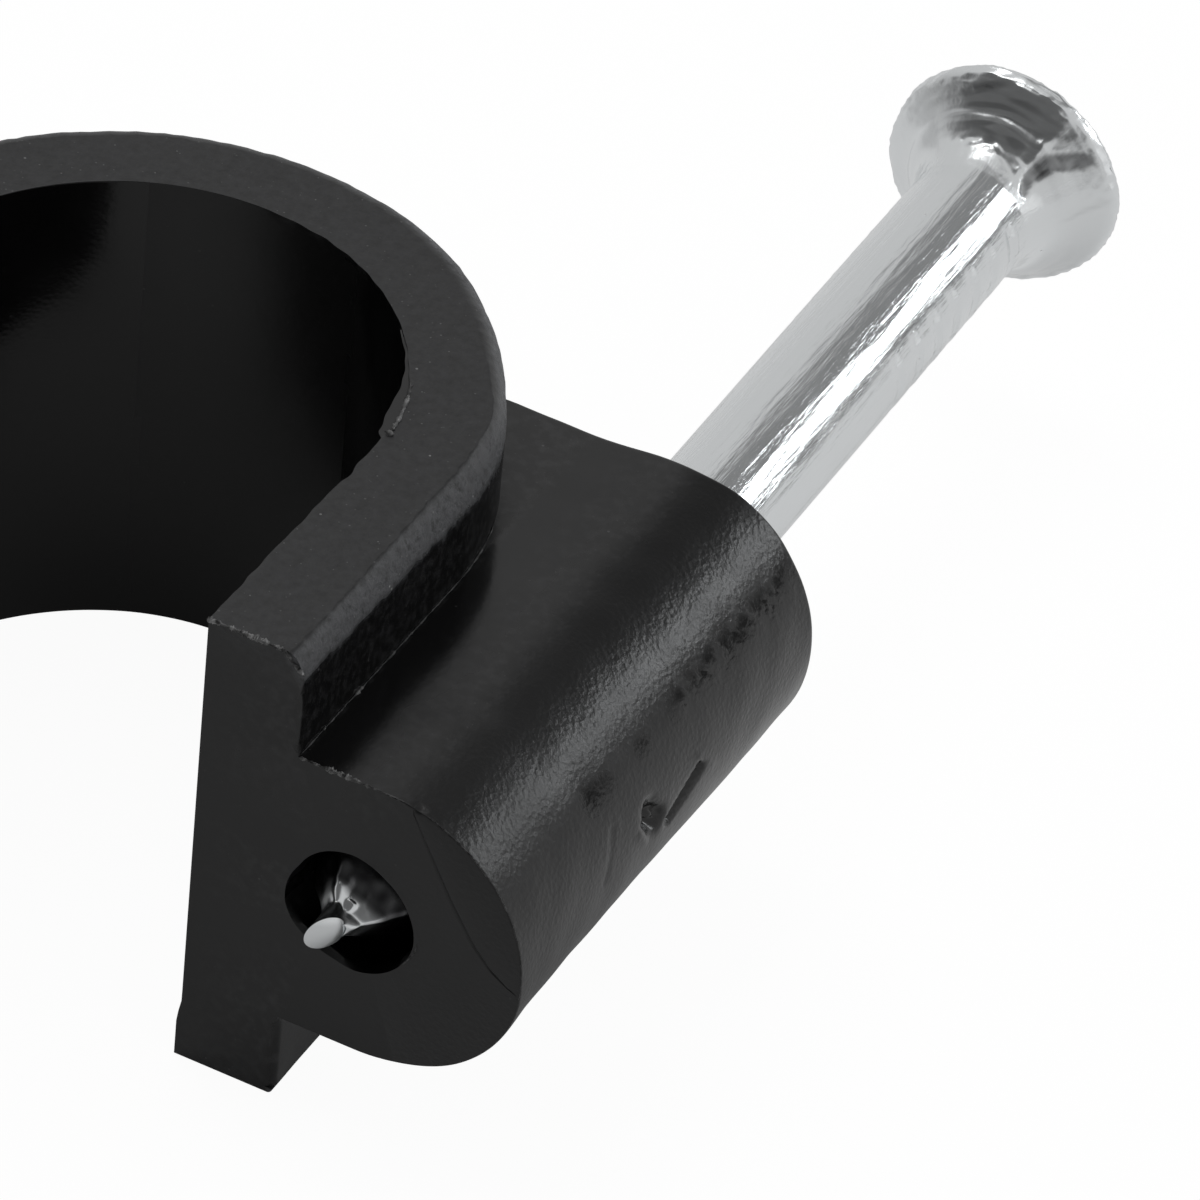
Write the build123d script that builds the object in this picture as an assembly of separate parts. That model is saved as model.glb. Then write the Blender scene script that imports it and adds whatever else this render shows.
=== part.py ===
from build123d import *
import os

# A nail-in clip for round cable, with its nail set in it as supplied. Sizes are in millimetres.
# +Z runs along the cable, +X goes from the cable to the nail, and +Y points away from the wall.
# The origin is on the cable's axis, at half the clip's width.

# Cable channel and arch
cable_diameter = 10.0
clip_width = 10.2
arch_wall = 1.9
foot_reach = 5.75  # from the cable's axis to the wall
channel_pinch = 0.1  # how far each leg's inner face comes in at the wall
outer_edge_round = 0.5
free_toe_round = 0.9  # outer corner of the leg that carries no nail

# Barrel that holds the nail, and the web that joins it to the arch
nail_spacing = 8.3  # from the cable's axis to the nail's
barrel_radius = 3.05
barrel_offset = 0.25  # the barrel's round is this much further out than the nail
barrel_drop = 0.2  # the nail and its barrel are this much off half width
barrel_reach = 5.3  # from the cable's axis to the barrel's far end
web_setback = 0.18  # the web stops this much short of the barrel's far end
barrel_end_round = 0.22
bore_clearance = 0.02  # round the shank at the barrel's far end
bore_draft = 0.05  # growth of the bore's radius on its way to the wall

# Nail
shank_diameter = 2.5
nail_length = 27.2  # from the point to the top of the head
point_proud = 1.0  # how far the point stands out of the wall face
point_length = 3.0
tip_width = 0.55
tip_thickness = 0.28
head_diameter = 4.8
head_dome = 0.15  # rise of the head's top at its middle
rim_thickness = 0.32
rim_round = 0.12
flare_height = 1.15  # from the plain shank to the rim
collar_height = 0.55  # the steeper, inner part of the flare
collar_growth = 0.45  # how far the collar stands out from the shank

# Marks that the forming dies leave on two sides of the shank, under the head
grip_count = 7
grip_pitch = 0.8
grip_depth = 0.04
grip_length = 0.3
grip_start = 1.0  # from the flare to the first mark

# Worked out from the sizes above
cable_radius = cable_diameter / 2
arch_radius = cable_radius + arch_wall
foot_inner = cable_radius - channel_pinch
shank_radius = shank_diameter / 2
head_radius = head_diameter / 2
barrel_x = nail_spacing + barrel_offset
barrel_z = -barrel_drop
tip_y = -foot_reach - point_proud
head_y = tip_y + nail_length
flare_y = head_y - head_dome - rim_thickness - flare_height
nail_axis = Axis((nail_spacing, 0, barrel_z), (0, 1, 0))
past = 1.0  # how far a cutting shape runs past the faces it cuts


def arch_block():
    """The arch and its legs before the channel is cut, with the outer edges rounded."""
    with BuildPart() as block:
        with BuildSketch(Plane.XY.offset(-clip_width / 2)) as outline:
            with BuildLine():
                crown = CenterArc((0, 0), arch_radius, 0, 180)
                Polyline(
                    crown @ 1,
                    (-arch_radius, -foot_reach),
                    (arch_radius, -foot_reach),
                    crown @ 0,
                )
            make_face()
            toe = outline.vertices().group_by(Axis.Y)[0].sort_by(Axis.X)[0]
            fillet(toe, free_toe_round)
        extrude(amount=clip_width)
        side_edges = block.edges().group_by(Axis.Z)[0] + block.edges().group_by(Axis.Z)[-1]
        foot_edges = side_edges.group_by(Axis.Y)[0]
        outer_edges = [edge for edge in side_edges if edge not in foot_edges]
        fillet(outer_edges, outer_edge_round)
    return block.part


def barrel_block():
    """The round barrel along the nail, and the flat-sided web that runs back into the arch."""
    barrel_centre = (barrel_x, barrel_z)
    with BuildPart() as barrel:
        with BuildSketch(Plane.XZ.offset(foot_reach)):
            with Locations(barrel_centre):
                Circle(barrel_radius)
        extrude(amount=-(foot_reach + barrel_reach))
        fillet(barrel.edges().sort_by(Axis.Y)[-1], barrel_end_round)
    with BuildPart() as web:
        with BuildSketch(Plane.XZ.offset(foot_reach)):
            with Locations((barrel_x / 2, barrel_z)):
                Rectangle(barrel_x, 2 * barrel_radius)
        extrude(amount=-(foot_reach + barrel_reach - web_setback))
        far_edges = web.edges().group_by(Axis.Y)[-1]
        fillet(far_edges.filter_by(Axis.X), barrel_end_round)
    return barrel.part + web.part


def cable_channel():
    """What the cable's bore and the open mouth between the legs take out of the clip."""
    with BuildPart() as channel:
        with BuildSketch(Plane.XY.offset(-clip_width / 2 - past)):
            Circle(cable_radius)
            with BuildLine():
                Polyline(
                    (-cable_radius, 0),
                    (-foot_inner, -foot_reach),
                    (-foot_inner, -foot_reach - past),
                    (foot_inner, -foot_reach - past),
                    (foot_inner, -foot_reach),
                    (cable_radius, 0),
                    close=True,
                )
            make_face()
        extrude(amount=clip_width + 2 * past)
    return channel.part


def nail_bore():
    """The nail's hole, which widens a little towards the wall, as the pin that cored it did."""
    far_radius = shank_radius + bore_clearance
    wall_radius = far_radius + bore_draft
    with BuildPart() as bore:
        with BuildSketch(Plane.XY.offset(barrel_z)):
            with BuildLine():
                Polyline(
                    (nail_spacing, -foot_reach - past),
                    (nail_spacing + wall_radius, -foot_reach - past),
                    (nail_spacing + wall_radius, -foot_reach),
                    (nail_spacing + far_radius, barrel_reach),
                    (nail_spacing + far_radius, barrel_reach + past),
                    (nail_spacing, barrel_reach + past),
                    close=True,
                )
            make_face()
        revolve(axis=nail_axis)
    return bore.part


def clip_body():
    """One moulding: arch, legs, web and barrel."""
    return arch_block() + barrel_block() - cable_channel() - nail_bore()


def nail_blank():
    """The nail turned about its axis: plain shank, flared underside, thin rim and low domed top."""
    collar_radius = shank_radius + collar_growth
    rim_y = flare_y + flare_height
    with BuildPart() as blank:
        with BuildSketch(Plane.XY.offset(barrel_z)) as profile:
            with BuildLine():
                shank = Polyline(
                    (nail_spacing, tip_y),
                    (nail_spacing + shank_radius, tip_y),
                    (nail_spacing + shank_radius, flare_y),
                )
                collar = TangentArc(
                    shank @ 1,
                    (nail_spacing + collar_radius, flare_y + collar_height),
                    tangent=(0, 1),
                )
                Polyline(
                    collar @ 1,
                    (nail_spacing + head_radius, rim_y),
                    (nail_spacing + head_radius, rim_y + rim_thickness),
                )
                TangentArc(
                    (nail_spacing, head_y),
                    (nail_spacing + head_radius, rim_y + rim_thickness),
                    tangent=(1, 0),
                )
                Line((nail_spacing, head_y), (nail_spacing, tip_y))
            make_face()
            rim_corners = profile.vertices().group_by(Axis.X)[-1]
            fillet(rim_corners, rim_round)
        revolve(axis=nail_axis)
    return blank.part


def point_wedge(across, normal, tip_size):
    """What two opposite cuts leave of the nail: a wedge at the point, and all of it further up."""
    clear = head_radius + past
    half = [
        (tip_size / 2, 0),
        (shank_radius, point_length),
        (clear, point_length),
        (clear, nail_length + past),
    ]
    other_half = [(-out, along) for out, along in reversed(half)]
    sketch_plane = Plane(origin=(nail_spacing, tip_y, barrel_z), x_dir=across, z_dir=normal)
    with BuildPart() as wedge:
        with BuildSketch(sketch_plane):
            Polygon(*half, *other_half, align=None)
        extrude(amount=clear, both=True)
    return wedge.part


def grip_marks():
    """Shallow cross marks in a row on two opposite sides of the shank."""
    with BuildPart() as marks:
        for side in (-1, 1):
            for index in range(grip_count):
                along = flare_y - grip_start - index * grip_pitch
                out = nail_spacing + side * (shank_radius - grip_depth + past / 2)
                with Locations((out, along, barrel_z)):
                    Box(past, grip_length, 2 * shank_radius)
    return marks.part


def nail():
    """One steel nail: the turned form, its four-sided point and its grip marks."""
    broad_cuts = point_wedge((1, 0, 0), (0, 0, 1), tip_width)
    narrow_cuts = point_wedge((0, 0, 1), (-1, 0, 0), tip_thickness)
    return (nail_blank() & broad_cuts & narrow_cuts) - grip_marks()


os.makedirs("parts", exist_ok=True)
export_step(clip_body(), "parts/clip_body.step")
export_step(nail(), "parts/nail.step")
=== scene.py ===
import math

import bmesh
import bpy
import numpy as np
from mathutils import Matrix, Vector
from mathutils.geometry import delaunay_2d_cdt


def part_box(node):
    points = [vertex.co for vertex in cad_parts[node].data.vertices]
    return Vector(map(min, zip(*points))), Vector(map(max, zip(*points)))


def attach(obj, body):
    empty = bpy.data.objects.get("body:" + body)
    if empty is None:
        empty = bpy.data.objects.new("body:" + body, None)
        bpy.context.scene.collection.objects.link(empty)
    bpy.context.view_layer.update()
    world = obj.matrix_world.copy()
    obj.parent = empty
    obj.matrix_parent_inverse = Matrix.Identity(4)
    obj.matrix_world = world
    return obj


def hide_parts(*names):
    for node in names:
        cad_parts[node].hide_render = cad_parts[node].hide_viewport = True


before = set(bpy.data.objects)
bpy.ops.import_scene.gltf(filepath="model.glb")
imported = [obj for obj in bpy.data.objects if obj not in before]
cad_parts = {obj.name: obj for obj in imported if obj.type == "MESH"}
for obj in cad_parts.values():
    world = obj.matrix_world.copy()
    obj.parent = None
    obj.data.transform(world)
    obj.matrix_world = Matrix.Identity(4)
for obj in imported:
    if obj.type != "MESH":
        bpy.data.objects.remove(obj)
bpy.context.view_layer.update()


# Clip body: one injection moulding in black polyethylene. An arch goes over the cable, its two legs
# end at the wall, and a D-shaped barrel on the outside of one leg holds the nail. The mould parts at
# the wall face, and the nail's bore is cored by a tapered pin.
MM = 0.001
TURN = 2 * math.pi
clip_low, clip_high = (np.array(corner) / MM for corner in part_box("clip_body"))
nail_low, nail_high = (np.array(corner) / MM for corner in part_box("nail"))

wall_y = clip_low[1]
arch_radius = clip_high[1]
arch_wall = 1.9
channel_radius = arch_radius - arch_wall
foot_pinch = 0.05
side_z = clip_high[2]
toe_round = 0.9
foot_kink = 0.08

nail_x, nail_z = (nail_low[0] + nail_high[0]) / 2, (nail_low[2] + nail_high[2]) / 2
barrel_radius = 3.05
barrel_x = clip_high[0] - barrel_radius
barrel_z = nail_z
barrel_end_y = 5.3
web_end_y = 5.12
barrel_end_round = 0.07
wall_edge_round = 0.04
leg_edge_round = 0.2
bore_end_radius = 1.27
bore_wall_radius = 1.32

# The side faces' outer edge is broken. This is the break's section, as shares of its two sizes: back
# from the outer face, and down from the side face. The upper one's sizes change along the arch, by angle
# about the bore in degrees, and the lower one is small throughout.
break_section = np.array([
    (1, 0), (0.94, 0.010), (0.83, 0.045), (0.70, 0.10), (0.56, 0.18), (0.44, 0.27),
    (0.33, 0.38), (0.23, 0.51), (0.13, 0.66), (0.05, 0.83), (0, 1),
])
break_turns = [-45, -20, 3, 9, 14, 19, 24, 30, 38, 47, 57, 120]
break_backs = [0.30, 0.30, 0.32, 0.30, 0.27, 0.26, 0.34, 0.40, 0.46, 0.50, 0.50, 0.50]
break_drops = [0.50, 0.64, 0.70, 0.82, 0.86, 0.85, 0.78, 0.72, 0.66, 0.58, 0.46, 0.46]
lower_break = 0.1
# The bore's mouth is off centre and out of round where the core pin tore the skin.
mouth_angles = np.radians([-164, -147, -127, -102, -83, -58, -34, -9, 23, 60, 91, 117, 152])
mouth_radii = np.array([1.36, 1.35, 1.27, 1.24, 1.30, 1.30, 1.29, 1.29, 1.24, 1.23, 1.31, 1.29, 1.23])
mouth_shift = np.array([-0.13, 0, 0.05])


def smooth_step(value, start, end):
    """0 before start, 1 after end, and a cubic blend with level ends between them."""
    share = np.clip((value - start) / (end - start), 0, 1)
    return share * share * (3 - 2 * share)


def bell(value, middle, spread):
    """1 at the middle, falling off on both sides on a Gaussian curve."""
    return np.exp(-((value - middle) / spread) ** 2)


def ripple(points, wavelength, seed, waves=16):
    """Smooth random field of unit strength: a sum of sine waves in random directions."""
    random = np.random.default_rng(seed)
    directions = random.normal(size=(3, waves))
    directions /= np.linalg.norm(directions, axis=0)
    lengths = wavelength * random.uniform(0.7, 1.4, waves)
    phases = random.uniform(0, TURN, waves)
    return np.sin(points @ (directions * TURN / lengths) + phases).sum(-1) / math.sqrt(waves / 2)


def joined(*parts):
    """Points from their coordinates, each of which may be one number for all of them."""
    return np.stack(np.broadcast_arrays(*parts), -1)


def eased(start, end, count, ease=1.0):
    """count values from start to end, closer together at the start where ease is above 1."""
    return start + (end - start) * np.linspace(0, 1, count) ** ease


def both_ends(start, end, count):
    """count values from start to end, closer together at both ends, on half a cosine wave."""
    return start + (end - start) * (1 - np.cos(np.linspace(0, math.pi, count))) / 2


def grid_quads(rows, columns):
    """Corner indices of each quad of a grid whose points are numbered row by row."""
    first = np.arange(rows * columns).reshape(rows, columns)
    corners = first[:-1, :-1], first[:-1, 1:], first[1:, 1:], first[1:, :-1]
    return np.stack([corner.ravel() for corner in corners], 1)


def flat_fill(outlines, inside=()):
    """Triangles that fill a flat region. Outlines are loops of 2D points, inside are open lines."""
    coords, edges, loops = [], [], []
    for outline in outlines:
        loops.append(list(range(len(coords), len(coords) + len(outline))))
        coords += [Vector(point) for point in outline]
    for line in inside:
        first = len(coords)
        coords += [Vector(point) for point in line]
        edges += [(first + step, first + step + 1) for step in range(len(line) - 1)]
    found = delaunay_2d_cdt(coords, edges, loops, 2, 1e-7)
    return np.array([list(point) for point in found[0]]), [list(face) for face in found[2]]


def piece_mesh(name, parts, sharp_angle=32):
    """One closed mesh from parts, each (points in mm, faces). Points that meet are merged."""
    points = np.concatenate([np.reshape(part[0], (-1, 3)) for part in parts])
    faces, first = [], 0
    for part_points, part_faces in parts:
        faces += [[int(corner) + first for corner in face] for face in part_faces]
        first += np.reshape(part_points, (-1, 3)).shape[0]
    mesh = bpy.data.meshes.new(name)
    mesh.from_pydata((points * MM).tolist(), [], faces)
    shell = bmesh.new()
    shell.from_mesh(mesh)
    bmesh.ops.remove_doubles(shell, verts=shell.verts, dist=0.0004 * MM)
    bmesh.ops.dissolve_degenerate(shell, edges=shell.edges, dist=0.0004 * MM)
    bmesh.ops.recalc_face_normals(shell, faces=shell.faces)
    shell.to_mesh(mesh)
    shell.free()
    mesh.shade_smooth()
    mesh.set_sharp_from_angle(angle=math.radians(sharp_angle))
    return mesh


def added(name, data):
    """A new object in the scene, from its mesh, lamp or camera."""
    thing = bpy.data.objects.new(name, data)
    bpy.context.scene.collection.objects.link(thing)
    return thing


def show_piece(name, mesh, material, slot, *nodes):
    """Puts the mesh in the scene as a piece that rides on the one body and wears its material."""
    piece = added(name, mesh)
    mesh.materials.append(material)
    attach(piece, "root")
    if nodes:
        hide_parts(*nodes)


def mesh_rows(elements, name):
    """A three-part value of each vertex or face as rows. Places come in millimetres."""
    values = np.empty(len(elements) * 3, np.float32)
    elements.foreach_get(name, values)
    return values.reshape(-1, 3).astype(float) / (1 if name == "normal" else MM)


def move_points(mesh, points):
    """Writes points in millimetres back to the mesh."""
    mesh.vertices.foreach_set("co", (points * MM).astype(np.float32).ravel())
    mesh.update()


def store(mesh, name, values, domain="POINT"):
    """Keeps one number per vertex or face under the name that the material reads."""
    layer = mesh.attributes.new(name, "FLOAT", domain)
    layer.data.foreach_set("value", values.astype(np.float32))


# Stations along the arch: up the barrel's leg, over the crown and down the free leg.
crown_end = math.asin(web_end_y / arch_radius)
near_leg = eased(wall_y, 0, 90, 1.4)[:-1]
near_arc = np.linspace(0, crown_end, 60)
far_arc = np.linspace(crown_end, math.pi, 90)[1:]
free_leg = -eased(0, -wall_y, 24)[1:]


def arch_stations():
    """Inner and outer points across the wall at each station, and the free toe's rounding last."""
    arc = np.concatenate([near_arc, far_arc])
    pinch = foot_pinch / -wall_y
    inner = [joined(channel_radius + pinch * near_leg, near_leg)]
    outer = [joined(arch_radius, near_leg)]
    around = joined(np.cos(arc), np.sin(arc))
    inner.append(channel_radius * around)
    sink = 0.05 * bell(np.degrees(arc), 40, 14) + 0.05 * bell(np.degrees(arc), 29, 8)
    outer.append((arch_radius - sink)[:, None] * around)
    inner.append(joined(-channel_radius - pinch * free_leg, free_leg))
    drop = np.clip((wall_y + toe_round - free_leg) / toe_round, 0, 1)
    inset = toe_round * (1 - np.sqrt(1 - drop ** 2))
    outer.append(joined(-arch_radius + inset, free_leg))
    return np.concatenate(inner), np.concatenate(outer)


inner_line, outer_line = arch_stations()
web_stations = len(near_leg) + len(near_arc)
web_top_z = barrel_z + barrel_radius
web_low_z = barrel_z - barrel_radius
lip_columns = 4
fall_columns = 17


def arch_patch(stations, from_inner, from_outer, heights):
    """Grid across the arch's wall: column c stands from_inner[c] of the wall's thickness out from
    the inner face, less from_outer[c] millimetres, at heights[c]. Either may vary by station."""
    inner, outer = inner_line[stations], outer_line[stations]
    across = outer - inner
    thickness = np.linalg.norm(across, axis=1, keepdims=True)
    reach = thickness * from_inner - from_outer
    flat = inner[:, None] + (across / thickness)[:, None] * reach[:, :, None]
    points = np.concatenate([flat, np.broadcast_to(heights, reach.shape)[:, :, None]], 2)
    return points, grid_quads(*reach.shape)


def break_sizes(x, y):
    """How far the upper edge is broken back and down at each place. The border wanders a little, as
    the mould's eroded edge does."""
    turn = np.degrees(np.arctan2(y, x))
    turn = np.where(turn < -90, turn + 360, turn)
    place = joined(x, y, 0)
    back = np.interp(turn, break_turns, break_backs) + 0.012 * ripple(place, 0.3, 17)
    drop = np.interp(turn, break_turns, break_drops) + 0.02 * ripple(place, 0.35, 16)
    return np.maximum(back + 0.012 * ripple(place, 1.3, 18), 0.03), drop


def side_columns(break_back, break_drop, end_height):
    """Columns from half height up the inner face, past the lip, over the side face, down the broken
    edge and on to the web. Heights are above half height, and the break's sizes are by station."""
    rise = eased(side_z - 0.13, 0, 18, 1.4)[::-1]
    lip = side_z - np.array([0.08, 0.06, 0.035, 0])
    flat = both_ends(0, 1, 18)[1:]
    section = break_section[1:]
    fall = both_ends(0, 1, fall_columns + 1)[1:]
    share = np.concatenate([0 * rise, 0 * lip, flat, 1 + 0 * section[:, 0], 1 + 0 * fall])
    back = np.concatenate([0 * rise, 0 * lip, flat, section[:, 0], 0 * fall])
    level = np.concatenate([rise, lip, side_z + 0 * flat])
    level = np.broadcast_to(level, (len(break_drop), len(level)))
    edge = side_z - section[:, 1] * break_drop[:, None]
    low = edge[:, -1:] + (end_height - edge[:, -1:]) * fall
    return share, back * break_back[:, None], np.concatenate([level, edge, low], 1), len(rise)


def soft_wall_edge(back, height):
    """Pulls the outer face in on a small round where it meets the wall face, clear of the web."""
    depth = np.clip(1 - (outer_line[:, 1] - wall_y) / leg_edge_round, 0, 1)
    inset = leg_edge_round * (1 - np.sqrt(1 - depth ** 2)) * (np.arange(len(depth)) < web_stations)
    level = smooth_step(np.abs(height - barrel_z), barrel_radius, barrel_radius + 0.3)
    level = level * (1 - smooth_step(height, side_z - 1.1, side_z - 0.55))
    back[:, -fall_columns:] += (inset[:, None] * level)[:, -fall_columns:]


def upper_patch():
    """The upper half of the arch. A thin shelf of flash stands into the channel along its top edge,
    from just past the leg to where it runs out near the crown, and lower down are two notches."""
    share, back, height, first = side_columns(*break_sizes(*outer_line.T), web_top_z)
    soft_wall_edge(back, height)
    turn = np.degrees(np.arctan2(inner_line[:, 1], inner_line[:, 0]))
    place = joined(*inner_line.T, 0)
    lip = smooth_step(turn, 4, 6.5) * (1 - 0.75 * smooth_step(turn, 20, 30))
    lip = lip * (1 - smooth_step(turn, 34, 47)) * (1 + 0.12 * ripple(place, 0.6, 5))
    jag = 0.008 * ripple(place, 0.5, 8) * (1 - smooth_step(turn, 90, 100))
    notch = -0.05 * bell(inner_line[:, 1], -0.9, 0.2) - 0.025 * bell(inner_line[:, 1], -2.6, 0.25)
    notch = (notch + jag) * (inner_line[:, 0] > 0)
    for column, stand in enumerate((0.14, 0.15, -0.06, -0.085)):
        back[:, first + column] += stand * lip + notch
    height[:, first + 2] -= 0.02 * lip
    level = share < 1
    level[:first + lip_columns] = False
    back[:, level] += (notch - 0.085 * lip)[:, None] * (1 - share[level])
    return arch_patch(np.arange(len(inner_line)), share, back, height)


def lower_patch():
    """The other half: from half height down the inner face and up to the web's underside. Low on
    the barrel's leg the inner face steps out, where the two mould halves don't quite meet."""
    small = np.full(len(outer_line), lower_break)
    share, back, height, _ = side_columns(small, small, -web_low_z)
    soft_wall_edge(back, -height)
    step = foot_kink * smooth_step(height, 3.75, 4.3) * (share == 0)
    leg = 1 - smooth_step(inner_line[:, 1], wall_y + 1.5, -0.5)
    near = np.arange(len(leg)) < web_stations
    return arch_patch(np.arange(len(inner_line)), share, back + (leg * near)[:, None] * step, -height)


def web_patch():
    """The web's and barrel's skin: at each station a line runs from the arch's outer face along the
    web's top, round the barrel and back along the underside. The far end turns in on a round that
    grows from nothing at the arch, and the wall's end on a smaller one. The underside swells a little
    below the barrel, and the far end's reach wanders along the web and round the barrel."""
    lane = both_ends(0, 1, 26)
    bend = np.linspace(0, math.pi, 142)[1:-1]
    ends = len(lane)
    turn_steps = np.linspace(0, math.pi / 2, 7)[1:]
    start_x = outer_line[:web_stations, 0]
    station_y = outer_line[:web_stations, 1]
    columns = 2 * ends + len(bend)

    def outline(first_x, inset, swell=0):
        """The line at one station: its half width is the barrel's radius less inset, plus swell."""
        radius = barrel_radius - inset + swell
        top = joined(first_x + (barrel_x - first_x) * lane, barrel_z + radius[:ends])
        nose = radius[ends:-ends]
        nose = joined(barrel_x + nose * np.sin(bend), barrel_z + nose * np.cos(bend))
        low = joined(barrel_x + (first_x - barrel_x) * lane, barrel_z - radius[-ends:])
        return np.concatenate([top, nose, low])

    out, up = outline(start_x[-1], np.zeros(columns)).T
    under = smooth_step(out, 9.2, 10.5) * smooth_step(-up, -0.2, 1.2)
    grown = smooth_step(out, start_x[-1], start_x[-1] + 1.6)
    reach = web_end_y + (barrel_end_y - web_end_y) * smooth_step(out, 6.4, 8.4)
    reach += 0.06 * smooth_step(out, 4.7, 5.3) * (1 - smooth_step(out, 6.2, 7.2))
    reach -= 0.035 * bell(out, 7.6, 0.5)
    reach += 0.11 * smooth_step(out, 8.6, 10) * smooth_step(up, -1.2, 1.4)
    reach += 0.03 * smooth_step(out, 9, 9.8) * smooth_step(up, 1.6, 2.1)
    shoulder = reach - barrel_end_round * grown
    rows = []
    for x, y in zip(start_x, station_y):
        depth = max(1 - (y - wall_y) / wall_edge_round, 0)
        inset = wall_edge_round * (1 - math.sqrt(1 - depth ** 2)) * smooth_step(out, 8.3, 10)
        swell = 0.06 * under * smooth_step(y, -1, 4) + 0.05 * under * smooth_step(-y, 4.9, 5.7)
        flat = outline(x, inset, swell)
        along = wall_y + (y - wall_y) * (shoulder - wall_y) / (web_end_y - wall_y)
        rows.append(joined(flat[:, 0], along, flat[:, 1]))
    for turn in turn_steps:
        inset = barrel_end_round * grown * (1 - math.cos(turn))
        flat = outline(start_x[-1], inset, 0.06 * under)
        along = reach - barrel_end_round * grown * (1 - math.sin(turn))
        rows.append(joined(flat[:, 0], along, flat[:, 1]))
    return np.array(rows), grid_quads(len(rows), columns)


def far_end_patch(skin):
    """The barrel's far end: a grid from the skin's last line in to the bore's mouth."""
    wall = np.linspace(skin[-1, -1], skin[-1, 0], 26)[1:]
    rim = np.concatenate([skin[-1], wall])
    angle = np.arctan2(rim[:, 2] - nail_z, rim[:, 0] - nail_x)
    x, z = nail_x + bore_end_radius * np.cos(angle), nail_z + bore_end_radius * np.sin(angle)
    mouth = joined(x, barrel_end_y, z)
    share = both_ends(0, 1, 12)[:, None, None]
    return rim + (mouth - rim) * share, grid_quads(12, len(rim)), angle


def bore_patch(angle):
    """The bore: rings from the far end's mouth to the wall face. Close to the wall it goes over to
    the mouth's own outline, which has a torn bevel along its lower left."""
    near_wall = wall_y + np.array([1, 0.6, 0.3, 0.16, 0.1, 0])
    along = np.concatenate([both_ends(barrel_end_y, wall_y + 1.5, 20), near_wall])
    share = (barrel_end_y - along) / (barrel_end_y - wall_y)
    radius = bore_end_radius + (bore_wall_radius - bore_end_radius) * share
    torn = np.interp(angle, mouth_angles, mouth_radii, period=TURN)
    lean = smooth_step(-along, -wall_y - 1.5, -wall_y)[:, None]
    radius = radius[:, None] * (1 - lean) + torn * lean
    bevel = 0.13 * bell(angle, math.radians(-118), 0.5) + 0.07 * bell(angle, math.radians(-28), 0.2)
    radius = radius - bevel * (lean > 0.95) * smooth_step(along - wall_y, 0, 0.1)[:, None]
    ring = joined(np.cos(angle), 0, np.sin(angle))
    centre = joined(nail_x, along, nail_z) + mouth_shift * lean
    return centre[:, None] + radius[:, :, None] * ring, grid_quads(len(along), len(angle))


def witness_lines():
    """The curved mark on the wall face beside the bore: two borders, and a sunk middle between."""
    x = np.array([9.24, 9.45, 10.08, 10.6, 10.98, 11.35])
    z = np.array([2.62, 2.2, 1.05, 0.25, -0.15, -0.4])
    knots, fine = np.linspace(0, 1, 6), np.linspace(0, 1, 60)
    line = joined(np.interp(fine, knots, x), np.interp(fine, knots, z))
    line[1:-1] += (line[:-2] - 2 * line[1:-1] + line[2:]) * 0.5
    side = np.gradient(line, axis=0)[:, ::-1] * (-1, 1)
    side /= np.linalg.norm(side, axis=1, keepdims=True)
    width = 0.034 * np.sin(np.linspace(0.12, math.pi - 0.12, 60))[:, None] ** 0.5
    return line + side * width, line, line - side * width


def wall_face(outlines, inside=()):
    """A leg's flat face against the wall, filled between its outline and its hole. Of the lines
    inside it, the middle one is sunk by 0.022 mm."""
    flat, faces = flat_fill([outline[:, [0, 2]] for outline in outlines], inside)
    points = joined(flat[:, 0], wall_y, flat[:, 1])
    if len(inside):
        gap = np.linalg.norm(flat[:, None] - inside[1][None], axis=2).min(1)
        points[gap < 1e-5, 1] += 0.022
    return points, faces


def loop_points(*lines):
    """One closed outline from lines that follow on from each other, without doubled points."""
    loop = np.concatenate(lines)
    apart = np.linalg.norm(loop - np.roll(loop, 1, axis=0), axis=1) > 1e-6
    return loop[apart]


def clip_shell():
    """All of the clip's surfaces, sharing the points along their common edges."""
    every = np.arange(len(inner_line))
    upper = upper_patch()
    lower = lower_patch()
    gap = np.linspace(web_top_z, web_low_z, 26)
    past_web = arch_patch(every[web_stations - 1:], 1 + 0 * gap, 0 * gap, gap)
    skin = web_patch()
    far_rim, far_quads, angle = far_end_patch(skin[0])
    bore = bore_patch(angle)
    near_face = wall_face([
        loop_points(upper[0][0], skin[0][0], lower[0][0][::-1]),
        loop_points(bore[0][-1]),
    ], witness_lines())
    free_face = wall_face([
        loop_points(upper[0][-1], past_web[0][-1], lower[0][-1][::-1]),
    ])
    return [upper, lower, past_web, skin, (far_rim, far_quads), bore, near_face, free_face]


def stretch_mark(points, start, end, width):
    """How near each point is to the line from start to end, 1 on it and 0 a few widths away."""
    start, end = np.array(start), np.array(end)
    run = end - start
    share = np.clip((points - start) @ run / (run @ run), 0, 1)
    return bell(np.linalg.norm(points - start - share[:, None] * run, axis=1), 0, width)


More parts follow.
